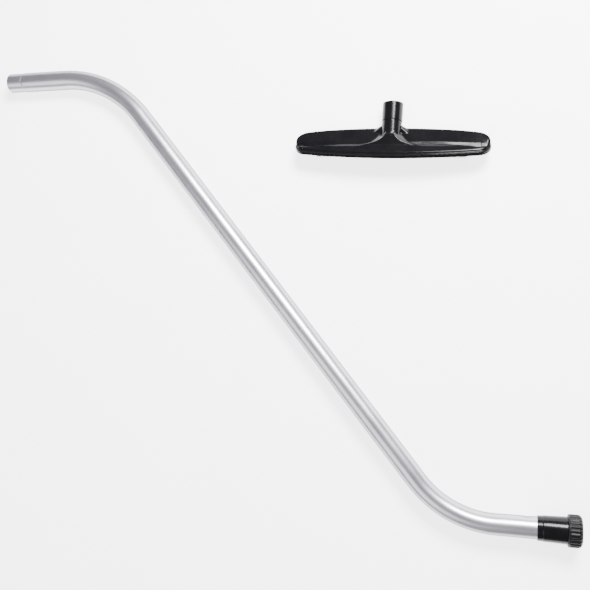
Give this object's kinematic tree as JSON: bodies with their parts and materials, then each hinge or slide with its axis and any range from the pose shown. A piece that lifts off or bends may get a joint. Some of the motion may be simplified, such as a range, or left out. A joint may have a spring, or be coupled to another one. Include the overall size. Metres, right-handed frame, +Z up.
{
  "type": "surface cleaner",
  "caption": "S-bent aluminium vacuum wand with a black clamping cuff and ribbed lock nut, laid beside a wide black floor tool with a tubular neck.",
  "frame": {"origin": "bottom centre of the laid-out kit, on the floor", "axes": "+Z up from the floor; +X along the wand's straight ends, out of its clamping socket"},
  "size_m": [1.1302, 0.8708, 0.0552],
  "materials": {
    "satin_aluminium": "satin anodised",
    "gloss_black": "gloss",
    "nut_black": "semi gloss",
    "frame_grey": "matte",
    "acetal_white": "satin",
    "seal_rubber": "matte",
    "bright_steel": "bright",
    "bristle_black": "fibre"
  },
  "bodies": {
    "wand": {"wand_tube": "satin_aluminium", "cuff_sleeve": "gloss_black", "cuff_o_ring": "seal_rubber"},
    "clamp": {"clamp_collet": "acetal_white", "clamp_gasket": "seal_rubber", "thrust_washer": "bright_steel"},
    "lock_nut": {"lock_nut": "nut_black"},
    "floor_tool": {"head_shell": "gloss_black", "neck_sleeve": "gloss_black", "neck_o_ring": "seal_rubber", "sole_frame": "frame_grey", "front_brush_channel": "bright_steel", "rear_brush_channel": "bright_steel", "front_core_wire": "bright_steel", "rear_core_wire": "bright_steel", "front_bristles": "bristle_black", "rear_bristles": "bristle_black", "left_end_stop": "frame_grey", "right_end_stop": "frame_grey", "left_glide": "acetal_white", "right_glide": "acetal_white", "sole_screws": "bright_steel"}
  },
  "joints": [
    {"name": "clamp_release", "type": "slide", "parent": "wand", "child": "clamp", "axis": [1, 0, 0], "range_m": [0, 0.0045]},
    {"name": "lock_nut_turn", "type": "hinge", "parent": "clamp", "child": "lock_nut", "pos_m": [0.55245, -0.40791, 0.0277], "axis": [1, 0, 0], "range_deg": [0, 540]},
    {"name": "tool_lift", "type": "slide", "parent": "wand", "child": "floor_tool", "axis": [0, 0, 1], "range_m": [0, 0.15]}
  ],
  "couplings": [
    {"joint": "clamp_release", "follows": "lock_nut_turn", "m_per_rad": 0.00047746}
  ]
}
